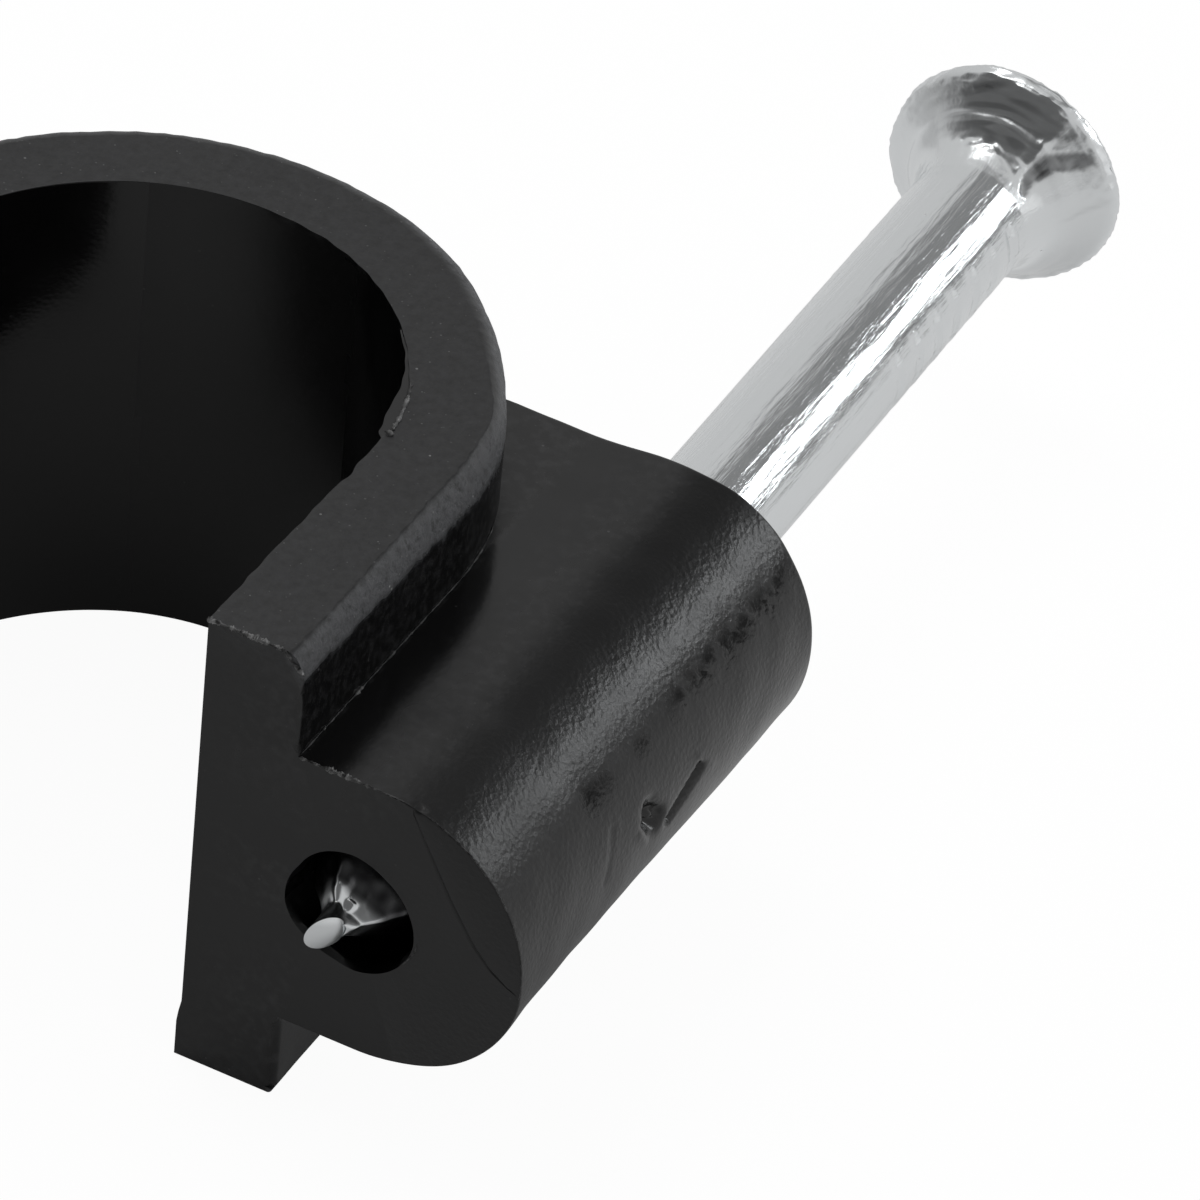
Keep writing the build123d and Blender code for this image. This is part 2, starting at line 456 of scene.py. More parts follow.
def weather_clip(mesh):
    """Moulded skin is never true: slow sink over all of it, shallower and quicker waves on the
    barrel, and a few knocks on the barrel's nose. The bore and the wall face stay as they are."""
    points = mesh_rows(mesh.vertices, "co")
    x, y, z = points.T
    off_wall = smooth_step(y, wall_y + 0.02, wall_y + 0.9)
    from_nail = np.hypot(x - nail_x, z - nail_z)
    free = off_wall * smooth_step(from_nail, 1.45, 2)
    on_barrel = smooth_step(x, 8.2, 9.6)
    blotch = bell(z, 1.5, 0.55)
    push = 0.007 * ripple(points, 4.5, 3) + 0.0012 * ripple(points, 1.1, 4)
    push += on_barrel * (0.004 * ripple(points, 1.5, 11) + 0.0012 * blotch * ripple(points, 0.5, 12))
    pit = stretch_mark(points, (11.58, -0.95, 0.3), (11.58, -0.72, 0.02), 0.2)
    cut = stretch_mark(points, (11.58, 0.95, 0.05), (11.6, -0.2, -0.32), 0.085)
    swell = stretch_mark(points, (11.6, 1.45, -0.2), (11.55, 0.9, 0.36), 0.07)
    faint = stretch_mark(points, (11.42, -2.2, 0.78), (11.6, -2.6, -0.1), 0.07)
    knocks = -0.34 * pit * (1 + 0.3 * ripple(points, 0.3, 7)) - 0.34 * cut + 0.02 * swell - 0.03 * faint
    knocks += 0.035 * stretch_mark(points, (11.55, -1.35, 0.1), (11.55, -1.1, -0.2), 0.1)
    knocks -= 0.06 * stretch_mark(points, (9.3, wall_y, 2.83), (9.33, wall_y + 0.1, 2.8), 0.08)
    shift = (push * free + knocks)[:, None]
    move_points(mesh, points + mesh_rows(mesh.vertices, "normal") * shift)


def broken_share(points):
    """1 on the side faces' broken outer edge and 0 clear of it, with an uneven lower border. It
    fades towards the break's border on the side face, and past the leg it starts from 1.7."""
    x, y, z = points.T
    back, drop = break_sizes(x, y)
    back = np.where(z > 0, back, lower_break)
    drop = np.where(z > 0, drop, lower_break)
    inset = arch_radius - np.hypot(x, np.maximum(y, 0))
    down = side_z - np.abs(z)
    lower = 1 - smooth_step(down / drop + 0.05 * ripple(points, 0.2, 19), 0.78, 1.2)
    past_leg = smooth_step(np.degrees(np.arctan2(y, x)), 12, 24) * (z > 0)
    share = (1 - past_leg) + past_leg * (1.7 - 1.5 * np.clip(inset / back, 0, 1))
    return share * lower * (1 - smooth_step(inset / back, 0.5, 1.1)) * (inset > -0.06)


def finish_clip(mesh):
    """Roughness of each face, by where it is and which way it faces. Each point also carries how
    worn it is (the side faces a little, the broken edge most), which the material also paints grey,
    partly as wear and partly as a painted highlight; how much of the cellular skin it shows (the barrel's
    nose), how polished it is by rubbing, and how hazy and how scuffed."""
    centres = mesh_rows(mesh.polygons, "center")
    normals = mesh_rows(mesh.polygons, "normal")
    level = np.maximum(centres[:, 1], 0)
    radius = np.hypot(centres[:, 0], level)
    inward = -(normals[:, 0] * centres[:, 0] + normals[:, 1] * level) / np.maximum(radius, 0.1)
    sideways = np.abs(normals[:, 2])
    on_arch = radius < arch_radius + 0.3
    kinds = [
        normals[:, 1] < -0.9,
        on_arch & (radius > arch_radius - 0.6) & (np.abs(sideways - 0.55) < 0.42),
        on_arch & (np.abs(centres[:, 2]) > side_z - 0.05) & (sideways > 0.9),
        on_arch & (inward > 0.6) & (radius < channel_radius + 1.2),
        on_arch & (radius > arch_radius - 0.25) & (sideways < 0.3),
    ]
    wall_rough, broken_rough, side_rough, channel_rough, leg_rough, skin_rough = (
        0.34, 0.45, 0.45, 0.13, 0.25, 0.29)
    rough = [wall_rough, broken_rough, side_rough, channel_rough, leg_rough]
    store(mesh, "finish", np.select(kinds, rough, skin_rough), "FACE")
    points = mesh_rows(mesh.vertices, "co")
    x, y, z = points.T
    on_side = (np.abs(z) > side_z - 0.03) & (x < arch_radius + 0.1)
    store(mesh, "worn", np.maximum(0.14 * on_side, broken_share(points)))
    reach = np.hypot(x - barrel_x, z - barrel_z)
    nose = smooth_step(reach, barrel_radius - 0.1, barrel_radius - 0.05)
    nose = smooth_step(x, 8.6, 10.2) * nose
    outside = np.hypot(x, np.maximum(y, 0)) > arch_radius - 0.25
    outside = outside & (x < 6.98)
    store(mesh, "skin", np.clip(nose + 0.03 * outside, 0, 1))
    on_web = (z > web_top_z - 0.05) & (x > arch_radius - 0.01)
    patches = smooth_step(ripple(points, 0.5, 33) + 0.6 * ripple(points, 0.2, 34), -0.9, 0.9)
    rubs = 1.3 * stretch_mark(points, (11.18, 1.0, 1.35), (11.18, 4.9, 1.35), 0.36) * patches
    rubs += 1.2 * stretch_mark(points, (11.1, -2.4, 1.5), (11.12, -1.95, 1.42), 0.27)
    rubs += 1.2 * stretch_mark(points, (11.14, -0.68, 1.44), (11.14, -0.52, 1.42), 0.15)
    rubs += on_web * (1 - smooth_step(x, 7.2, 8.5))
    rubs += stretch_mark(points, (11.4, -0.95, 0.3), (11.4, -0.72, 0.02), 0.28)
    rubs += stretch_mark(points, (11.4, 0.9, 0.04), (11.42, -0.15, -0.3), 0.2)
    dull = 0.3 * (1 - smooth_step(y, wall_y, 2)) * (x > 9)
    store(mesh, "polished", np.clip(rubs, 0, 1.2) - dull)
    # On the web the haze grows from x = 7.1 to 8.4 mm, away from the crease, so the web stays darker
    # beside it.
    store(mesh, "hazy", np.clip(0.8 * outside + 0.6 * on_web * smooth_step(x, 7.1, 8.4), 0, 0.8))
    rub = 0.25 * stretch_mark(points, (8.05, -3.6, 2.85), (9.1, -2.9, 2.85), 0.3) * (z > 1.5)
    store(mesh, "rubbed", np.clip(rub, 0, 1))


def node_group(name, inputs, output):
    """An empty node group with a vector input, the named number inputs and one number output."""
    group = bpy.data.node_groups.new(name, "ShaderNodeTree")
    group.interface.new_socket("Vector", in_out="INPUT", socket_type="NodeSocketVector")
    for label, value in inputs.items():
        socket = group.interface.new_socket(label, in_out="INPUT", socket_type="NodeSocketFloat")
        socket.default_value = value
    group.interface.new_socket(output, in_out="OUTPUT", socket_type="NodeSocketFloat")
    return group, group.nodes.new("NodeGroupInput").outputs, group.nodes.new("NodeGroupOutput")


def new_node(tree, kind, inputs, **settings):
    """A node with its settings made, and its inputs, by label or number, joined or set."""
    node = tree.nodes.new("ShaderNode" + kind)
    for name, value in settings.items():
        setattr(node, name, value)
    for label, value in inputs.items():
        if isinstance(value, bpy.types.NodeSocket):
            tree.links.new(value, node.inputs[label])
        else:
            node.inputs[label].default_value = value
    return node


def chain(tree, operation, *values):
    """A math node with its inputs joined or set, in order. Returns its output."""
    return new_node(tree, "Math", dict(enumerate(values)), operation=operation).outputs[0]


def scaled(tree, value, factor, offset):
    """value * factor + offset."""
    return chain(tree, "MULTIPLY_ADD", value, factor, offset)


def noise(tree, place, scale, detail, roughness=0.5):
    """Fractal noise about one half. Scale is in waves to the metre, and detail in octaves."""
    inputs = {"Vector": place, "Scale": scale, "Detail": detail, "Roughness": roughness}
    return new_node(tree, "TexNoise", inputs).outputs["Fac"]


def speck_group():
    """Small round specks scattered through space, each of its own strength s between 0 and 1:
    s times 4 * (1.25 - distance / Size), held between 0 and 1. Spacing is the mean distance between
    them and Size their radius, both in millimetres."""
    group, start, end = node_group("specks", {"Spacing": 0.5, "Size": 0.03}, "Mask")
    scale = chain(group, "DIVIDE", 1 / MM, start["Spacing"])
    cells = new_node(group, "TexVoronoi", {"Vector": start["Vector"], "Scale": scale})
    reach = chain(group, "MULTIPLY", cells.outputs["Distance"], start["Spacing"])
    inside = chain(group, "SUBTRACT", 1.25, chain(group, "DIVIDE", reach, start["Size"]))
    mask = chain(group, "MAXIMUM", chain(group, "MULTIPLY", inside, 4), 0)
    mask = chain(group, "MINIMUM", mask, 1)
    own = chain(group, "POWER", cells.outputs["Color"], 1.5)
    group.links.new(chain(group, "MULTIPLY", mask, own), end.inputs["Mask"])
    return group


def relief_group(name, feature):
    """Uneven relief in millimetres: cells times Cell Height, and finer grain times Grain Height over
    them. Stretch draws it out along Y, as wire drawing does. The feature F1 makes cells with sharp
    borders, and SMOOTH_F1 makes soft ones, which take much longer to render."""
    sizes = {"Cell": 0.15, "Cell Height": 0.001, "Grain": 0.05, "Grain Height": 0.001, "Stretch": 1}
    group, start, end = node_group(name, sizes, "Height")
    x, y, z = new_node(group, "SeparateXYZ", {0: start["Vector"]}).outputs
    drawn = chain(group, "DIVIDE", y, start["Stretch"])
    place = new_node(group, "CombineXYZ", {"X": x, "Y": drawn, "Z": z}).outputs[0]
    cell_scale = chain(group, "DIVIDE", 1 / MM, start["Cell"])
    smoothness = {"Smoothness": 0.5} if feature == "SMOOTH_F1" else {}
    inputs = {"Vector": place, "Scale": cell_scale, **smoothness}
    cells = new_node(group, "TexVoronoi", inputs, feature=feature)
    grain = noise(group, place, chain(group, "DIVIDE", 0.5 / MM, start["Grain"]), 3, 0.6)
    coarse = chain(group, "MULTIPLY", cells.outputs["Distance"], start["Cell Height"])
    fine = chain(group, "MULTIPLY", grain, start["Grain Height"])
    group.links.new(chain(group, "ADD", coarse, fine), end.inputs["Height"])
    return group


def placed_group(tree, group, vector, **values):
    """The group's node in the tree. Its inputs are joined or set, underscores standing for spaces."""
    inputs = {label.replace("_", " "): value for label, value in values.items()}
    return new_node(tree, "Group", {"Vector": vector, **inputs}, node_tree=group).outputs[0]


def relief_bump(tree, height):
    """A bump node that reads heights in millimetres."""
    return new_node(tree, "Bump", {"Strength": 1, "Distance": MM, "Height": height}).outputs[0]


def attribute(tree, name):
    """One of the mesh's own numbers."""
    return new_node(tree, "Attribute", {}, attribute_name=name).outputs["Fac"]


def mixed_colour(tree, share, first, second):
    """The first colour where the share is 0 and the second where it is 1. The node's inputs 6 and 7
    and its output 2 are those for colours."""
    return new_node(tree, "Mix", {0: share, 6: first, 7: second}, data_type="RGBA").outputs[2]


def new_material(name):
    """A material with its node tree, its Principled shader and the piece's own coordinates."""
    material = bpy.data.materials.new(name)
    material.use_nodes = True
    tree = material.node_tree
    place = tree.nodes.new("ShaderNodeTexCoord").outputs["Object"]
    return material, tree, tree.nodes["Principled BSDF"], place


specks = speck_group()
relief = relief_group("relief", "F1")


def plastic_material():
    """Black polyethylene: nearly black in itself, and lit almost only by its surface reflection.
    Worn places turn a patchy grey, partly wear and partly a painted highlight on the broken edge; the
    arch's back is hazy, and worn and hazy places carry pale specks of dust. Thin flash is paler where it
    is thickest, partly stress whitening and partly a painted highlight. Relief comes from the cellular
    skin, which rubbing takes down, and from fine grain and mottling where the skin is worn through."""
    material, tree, shader, place = new_material("black_polyethylene")
    worn = attribute(tree, "worn")
    eroded = chain(tree, "GREATER_THAN", worn, 0.1)
    dust = placed_group(tree, specks, place, Spacing=0.5, Size=0.022)
    fine_dust = placed_group(tree, specks, place, Spacing=0.16, Size=0.016)
    dust = scaled(tree, fine_dust, 0.3, dust)
    hazy = attribute(tree, "hazy")
    dusty = scaled(tree, eroded, 1.2, 0.1)
    dusty = scaled(tree, hazy, 0.35, dusty)
    dust = chain(tree, "MULTIPLY", dust, dusty)
    mottle = scaled(tree, noise(tree, place, 4.5 / MM, 6, 0.7), 5, -1.5)
    wear_mottle_and_painted_highlight = chain(tree, "MULTIPLY", worn, mottle)
    haze = scaled(tree, noise(tree, place, 4.5 / MM, 3), 4, -1.8)
    haze = chain(tree, "MULTIPLY", chain(tree, "MAXIMUM", haze, 0), hazy)
    # Patchy grey on worn places: partly wear, and on the broken edge partly a painted highlight of its
    # bluish sheen.
    black = mixed_colour(tree, wear_mottle_and_painted_highlight, (0.002, 0.002, 0.0022, 1), (0.085, 0.087, 0.093, 1))
    black = mixed_colour(tree, haze, black, (0.022, 0.022, 0.023, 1))
    black = mixed_colour(tree, dust, black, (0.3, 0.3, 0.3, 1))
    # Thick flash is paler: partly stress whitening, partly a painted highlight.
    colour = mixed_colour(tree, attribute(tree, "whitening_and_painted_highlight"), black, (0.5, 0.5, 0.5, 1))
    tree.links.new(colour, shader.inputs["Base Color"])
    polished = attribute(tree, "polished")
    skin = scaled(tree, polished, -0.7, attribute(tree, "skin"))
    skin = chain(tree, "MAXIMUM", skin, 0)
    cell_height = scaled(tree, skin, 0.0042, 0.0006)
    grain_height = scaled(tree, eroded, 0.004, 0.0006)
    grain_height = scaled(tree, skin, 0.0085, grain_height)
    cells = {"Cell": 0.11, "Cell_Height": cell_height}
    height = placed_group(tree, relief, place, Grain=0.05, Grain_Height=grain_height, **cells)
    height = scaled(tree, wear_mottle_and_painted_highlight, 0.011, height)
    tree.links.new(relief_bump(tree, height), shader.inputs["Normal"])
    rough = scaled(tree, noise(tree, place, 0.9 / MM, 4), 0.1, -0.05)
    rough = chain(tree, "ADD", rough, attribute(tree, "finish"))
    rough = scaled(tree, attribute(tree, "rubbed"), 0.6, rough)
    rough = scaled(tree, worn, 0.06, rough)
    rough = scaled(tree, polished, -0.17, rough)
    tree.links.new(rough, shader.inputs["Roughness"])
    return material


plastic = plastic_material()
clip = piece_mesh("clip_body_skin", clip_shell())
weather_clip(clip)
finish_clip(clip)
show_piece("clip_moulding", clip, plastic, "black_plastic", "clip_body")


# Flash: thin torn plastic left along the mould's parting lines, which are the leg's and barrel's edges
# on the wall face and the corner between leg and web. It is part of the moulding.
def flash_line(line, thickness, seed, beads=(), fade=0.3):
    """A closed irregular thread along a line of points: its radius wanders between a little and
    the full thickness, swells at each bead (position along in mm, radius) and ends in nothing."""
    line = np.array(line, float)
    lengths = np.concatenate([[0], np.cumsum(np.linalg.norm(np.diff(line, axis=0), axis=1))])
    along = np.linspace(0, lengths[-1], max(int(lengths[-1] / 0.018), 12))
    middle = joined(*(np.interp(along, lengths, axis) for axis in line.T))
    place = joined(along, 0, 0)
    wander = 0.7 + 0.22 * ripple(place, 0.5, seed) + 0.15 * ripple(place, 0.15, seed + 1)
    radius = thickness * np.clip(wander, 0.3, 1.4)
    for position, size in beads:
        radius = radius + 0.55 * size * bell(along, position, size * 1.6)
    radius = radius * smooth_step(along, 0, fade)
    radius = radius * (1 - smooth_step(along, lengths[-1] - fade, lengths[-1]))
    forward = np.gradient(middle, axis=0)
    forward /= np.linalg.norm(forward, axis=1, keepdims=True)
    side = np.cross(forward, (0.31, -0.68, 0.66))
    side /= np.linalg.norm(side, axis=1, keepdims=True)
    rise = np.cross(side, forward)
    turn = np.linspace(0, TURN, 9)
    ring = np.cos(turn)[None, :, None] * side[:, None] + np.sin(turn)[None, :, None] * rise[:, None]
    lump = np.ones((len(along), 9))
    lump[:, :-1] += 0.35 * np.random.default_rng(seed).normal(size=(len(along), 8))
    lump[:, -1] = lump[:, 0]
    points = middle[:, None] + ring * (radius[:, None] * np.clip(lump, 0.4, 1.8))[:, :, None]
    return points, grid_quads(len(along), 9), np.repeat(radius, 9)


def crease_line():
    """The corner between the arch's outer face and the web's top, from the wall face round."""
    stations = np.arange(0, web_stations, 3)
    stations = stations[outer_line[stations, 1] < 2.2]
    x, y = outer_line[stations].T
    return joined(x + 0.008, y, web_top_z + 0.006)


def flash_mesh():
    """All the threads in one mesh, paler where they are thickest, partly as stress whitening and partly
    as a painted highlight. Lines that lie on the wall face are given by X and Z, and beads by their place
    along a thread and their radius."""
    leg_top = [(4.9, 5.09), (5.3, 5.1), (6.0, 5.1), (6.5, 5.08), (6.6, 4.95), (6.72, 4.86), (6.9, 4.68)]
    web_top = [(6.88, 2.86), (7.6, 2.86), (8.55, 2.855), (9.0, 2.8)]
    torn_sliver = [(9.52, -0.2), (9.5, -0.4), (9.43, -0.57), (9.3, -0.79), (9.2, -0.9)]
    leg_top, web_top, torn_sliver = (
        [(x, wall_y - 0.005, z) for x, z in line] for line in (leg_top, web_top, torn_sliver))
    leg_beads = [
        (0.1, 0.05), (0.24, 0.035), (0.5, 0.028), (0.75, 0.045), (0.9, 0.05), (1.05, 0.05),
        (1.2, 0.045), (1.55, 0.03), (1.75, 0.045), (1.95, 0.04), (2.15, 0.03),
    ]
    web_beads = [
        (0.12, 0.04), (0.3, 0.035), (0.42, 0.03), (0.62, 0.045), (0.72, 0.04), (0.9, 0.035),
        (1.05, 0.045), (1.2, 0.045), (1.42, 0.035), (1.9, 0.02),
    ]
    crease_beads = [
        (0.9, 0.02), (2.1, 0.03), (2.25, 0.03), (2.9, 0.022), (3.3, 0.03), (3.42, 0.03),
        (4.05, 0.024), (4.25, 0.022), (5.4, 0.018),
    ]
    turn = np.radians(np.linspace(4.6, 25, 40))
    lip_edge = joined(5.09 * np.cos(turn), 5.09 * np.sin(turn), side_z + 0.012)
    turn = np.radians(np.linspace(76, -14, 60))
    x, z = barrel_x + barrel_radius * np.cos(turn), barrel_z + barrel_radius * np.sin(turn)
    barrel_edge = joined(x, wall_y + 0.015, z)
    parts = [
        flash_line(leg_top, 0.03, 21, leg_beads, fade=0.06),
        flash_line(web_top, 0.024, 24, web_beads, fade=0.08),
        flash_line(crease_line(), 0.015, 27, crease_beads),
        flash_line(barrel_edge, 0.016, 30, [(2.2, 0.012), (3.6, 0.012)]),
        flash_line(torn_sliver, 0.018, 36, fade=0.15),
        flash_line(lip_edge, 0.042, 38, [(0.02, 0.05), (0.25, 0.02), (0.7, 0.012)], fade=0.1),
    ]
    mesh = piece_mesh("flash_threads", [part[:2] for part in parts], 60)
    values = np.concatenate([part[2] for part in parts])
    points = np.concatenate([part[0].reshape(-1, 3) for part in parts])
    found = mesh_rows(mesh.vertices, "co")
    nearest = np.array([np.argmin(((points - point) ** 2).sum(1)) for point in found])
    # Thicker threads are paler: partly stress whitening, partly a painted highlight.
    paint = smooth_step(values[nearest], 0.008, 0.045)
    patchy = np.clip(0.6 + 0.4 * ripple(found, 0.16, 52), 0.1, 1.2)
    store(mesh, "whitening_and_painted_highlight", np.clip((0.04 + 0.5 * paint) * patchy, 0, 1))
    store(mesh, "finish", np.full(len(mesh.polygons), 0.4), "FACE")
    return mesh


show_piece("clip_flash", flash_mesh(), plastic, "black_plastic")


# Nail: one hard steel nail, headed and pointed from drawn wire and zinc plated bright. It is driven
# into the barrel's bore at the factory, with its point just past the wall face.
shank_radius = 1.25
head_y = nail_high[1]
nail_lean = -0.0085
lean_from = 3.0
point_start = -4.25
tip_middle = np.array([8.09, -6.53, -0.1])
grip_first = 17.85
grip_pitch = 0.8
grip_count = 7
# Height and radius down the flare, from the plain shank to just under the rim.
profile_knots = np.array([
    (18.2, 1.25), (18.45, 1.262), (18.65, 1.3), (18.85, 1.36), (19.0, 1.42), (19.1, 1.475),
    (19.2, 1.56), (19.3, 1.68), (19.42, 1.779), (19.52, 1.834), (19.58, 1.89), (19.7, 2.03),
    (19.83, 2.22), (19.92, 2.335), (19.99, 2.375),
])


def head_profile():
    """Radius and height from the middle of the head's top, round the rim and down the flare."""
    top_radius, top_drop, rim_round = 2.24, 0.13, 0.155
    steps = np.linspace(0, 1, 12)
    top = joined(top_radius * steps, head_y - top_drop * steps ** 2)
    turn = np.linspace(math.pi / 2, -0.35, 12)[1:]
    rim = joined(top_radius + rim_round * np.cos(turn), head_y - 0.285 + rim_round * np.sin(turn))
    low = np.linspace(19.99, 18.2, 108)
    flare = joined(np.interp(low, *profile_knots.T), low)
    soft = flare.copy()
    for _ in range(8):
        soft[1:-1, 0] = (flare[:-2, 0] + flare[1:-1, 0] * 2 + flare[2:, 0]) / 4
        flare = soft.copy()
    return np.concatenate([top, rim, flare])


def wrapped(turn, middle, spread):
    """A bell in angle, in degrees, that goes on round past half a turn."""
    return bell((turn - middle + 180) % 360 - 180, 0, spread)


def seam_crack(along, turn):
    """1 in the dark crack beside the seam between the grip dies, 0 away from it. Its middle and its
    half width, in degrees round the nail, change with height."""
    middles = [18.7, 18.95, 19.1, 19.31, 19.5, 19.75, 19.9], [43, 48.5, 49, 49.5, 44.5, 39, 35.5]
    halves = [18.62, 18.75, 19.1, 19.31, 19.46, 19.75, 19.92], [1, 5, 6, 6.5, 7.5, 5.5, 3]
    middle, half = np.interp(along, *middles), np.interp(along, *halves)
    length = smooth_step(along, 18.6, 18.7) * (1 - smooth_step(along, 19.86, 19.94))
    return length * (1 - smooth_step(np.abs(turn - middle) / half, 0.7, 1.15))


def around_rod(radius, along, turn):
    """Points on a rod of that radius along Y, the turn round it in degrees."""
    angle = np.radians(turn)
    return joined(radius * np.cos(angle), along, radius * np.sin(angle))


def drawn_place(along, turn):
    """Where to read a pattern that runs round the nail in long lines: height first, then a place on
    a thin rod."""
    return around_rod(0.3, along, turn)[..., [1, 0, 2]]


def forged_radius(radius, along, turn):
    """The plain radius with the marks of the header and the grips: an off-round rim, the seam
    between the grip dies over the flare, three lesser creases, and cross marks down both sides."""
    flare = smooth_step(along, 18.6, 19.15)
    rim = smooth_step(along, 19.3, 19.95) * smooth_step(radius, 1.7, 2.3)
    off_round = 0.10 * wrapped(turn, 215, 50) - 0.01 * wrapped(turn, 50, 35)
    off_round = off_round - 0.18 * wrapped(turn, -56, 42) + 0.03 * wrapped(turn, 100, 40)
    lumps = ripple(joined(along, 0 * turn, 0), 0.3, 64)
    ridge = wrapped(turn, 58 + 1.5 * lumps, 3) * 0.05 * (1 + 0.7 * lumps)
    ridge = ridge * (1 - smooth_step(along, 19.75, 19.95))
    seam = ridge * flare - 0.035 * seam_crack(along, turn) * (1 - smooth_step(along, 19.7, 19.85))
    turned = 0.0026 * ripple(drawn_place(along, turn), 0.1, 66)
    turned = turned * smooth_step(along, 19.1, 19.3) * wrapped(turn, 95, 45)
    creases = -0.02 * wrapped(turn, -18, 2.5) + 0.016 * wrapped(turn, 8, 3) - 0.012 * wrapped(turn, 28, 2)
    centres = grip_first - grip_pitch * np.arange(grip_count)
    sides = smooth_step(np.abs(np.cos(np.radians(turn - 4))), 0.80, 0.97)
    marks = sum(
        -0.036 * bell(along, centre, 0.12) + 0.016 * bell(along, centre + 0.19, 0.05)
        for centre in centres)
    round_place = around_rod(radius, along, turn)
    beaten = 0.006 * ripple(round_place, 0.28, 62) * wrapped(turn, 66, 16)
    beaten = flare * (0.006 * ripple(round_place, 0.8, 61) + beaten)
    beaten = beaten + rim * 0.009 * ripple(round_place, 0.22, 65) + turned
    dents = 0.012 * bell(along, 19.02, 0.12) * wrapped(turn, 85, 35)
    beaten = beaten + dents * ripple(round_place, 0.24, 67)
    drawn = (1 - flare) * 0.004 * ripple(round_place * (1, 0.08, 1), 0.9, 63)
    creases = creases * flare * (1 - rim * 0.5)
    return radius + off_round * rim + seam + creases + marks * sides + beaten + drawn


def nail_body():
    """The turned and forged body down to the point's start, as a grid of rings. The first ring is
    one point, and 40 times its plain radius keeps each ring near it small."""
    shank = joined(shank_radius, np.linspace(18.2, point_start, 270)[1:])
    rings = np.concatenate([head_profile(), shank])
    angle = np.linspace(0, TURN, 177)
    radius = forged_radius(rings[:, :1], rings[:, 1:], np.degrees(angle)[None])
    radius = np.minimum(radius, rings[:, :1] * 40)
    along = np.broadcast_to(rings[:, 1:], radius.shape)
    lean = nail_lean * (along - lean_from)
    x = nail_x + lean + radius * np.cos(angle)
    z = nail_z + radius * np.sin(angle)
    return joined(x, along, z)


# The point's four cuts: the way each faces round the nail in degrees, and its distance from the
# axis at each depth.
cut_depths = np.array([-7.0, -6.5, -6.0, -5.75, -5.3, -5.0, -4.6, -4.2])
cut_faces = [
    (63, [0.12, 0.16, 0.26, 0.46, 0.82, 1.04, 1.2, 1.3]),
    (152, [0.24, 0.28, 0.34, 0.58, 1.02, 1.22, 1.28, 1.3]),
    (-40, [0.16, 0.20, 0.30, 0.44, 0.72, 0.94, 1.14, 1.3]),
    (-120, [0.18, 0.22, 0.32, 0.42, 0.62, 0.80, 1.08, 1.3]),
]


def nail_point(last_ring):
    """The point: rings cut down by the four faces. A ring's radius is a soft minimum of the shank's
    and the faces' distances, the sum of their -10th powers to the power -0.1. The rings end on the
    slanted oval where the cutter sheared the wire."""
    share = np.linspace(0, 1, 60)[1:, None]
    centre = last_ring[:-1].mean(0)
    ring = last_ring - centre
    angle = np.arctan2(ring[:, 2], ring[:, 0])[None]
    along = point_start + (tip_middle[1] - point_start) * share
    plain = np.hypot(ring[:, 0], ring[:, 2])[None]
    crowd = (1 / plain) ** 10
    for facing, distances in cut_faces:
        toward = np.maximum(np.cos(angle - math.radians(facing)), 0)
        crowd = crowd + (toward / np.interp(along, cut_depths, distances)) ** 10
    radius = crowd ** -0.1
    x = centre[0] + (tip_middle[0] - centre[0]) * share + radius * np.cos(angle)
    z = centre[2] + (tip_middle[2] - centre[2]) * share + radius * np.sin(angle)
    cone = joined(x, along, z)
    broken = bell(along, -5.95, 0.28) * wrapped(np.degrees(angle), 95, 50)
    rough = 0.012 * ripple(cone, 0.6, 41) * smooth_step(-along, 4.6, 5.2)
    rough = rough + 0.022 * broken * ripple(cone, 0.24, 42)
    for depth, facing, rise in ((-5.86, 112, 0.05), (-5.93, 88, 0.03), (-5.92, 66, 0.04)):
        rough = rough + rise * bell(along, depth, 0.09) * wrapped(np.degrees(angle), facing, 10)
    cone += rough[:, :, None] * ring / shank_radius
    long_way = np.cos(angle)[:, :, None] * 0.41 * np.array([0.6, 0.8, 0.0])
    short_way = np.sin(angle)[:, :, None] * 0.34 * np.array([0.0, 0.0, 1.0])
    oval = tip_middle + long_way + short_way
    meet = smooth_step(share, 0.8, 1)[:, :, None]
    sides = cone + (oval - cone) * meet
    cap = np.array([0.95, 0.85, 0.7, 0.5, 0.25, 0])[:, None, None]
    bulge = 0.08 * (1 - cap ** 2) * np.array([0.8, -0.6, 0.0])
    face = tip_middle + (oval - tip_middle) * cap + bulge
    return np.concatenate([sides, face])


soft_relief = relief_group("soft_relief", "SMOOTH_F1")


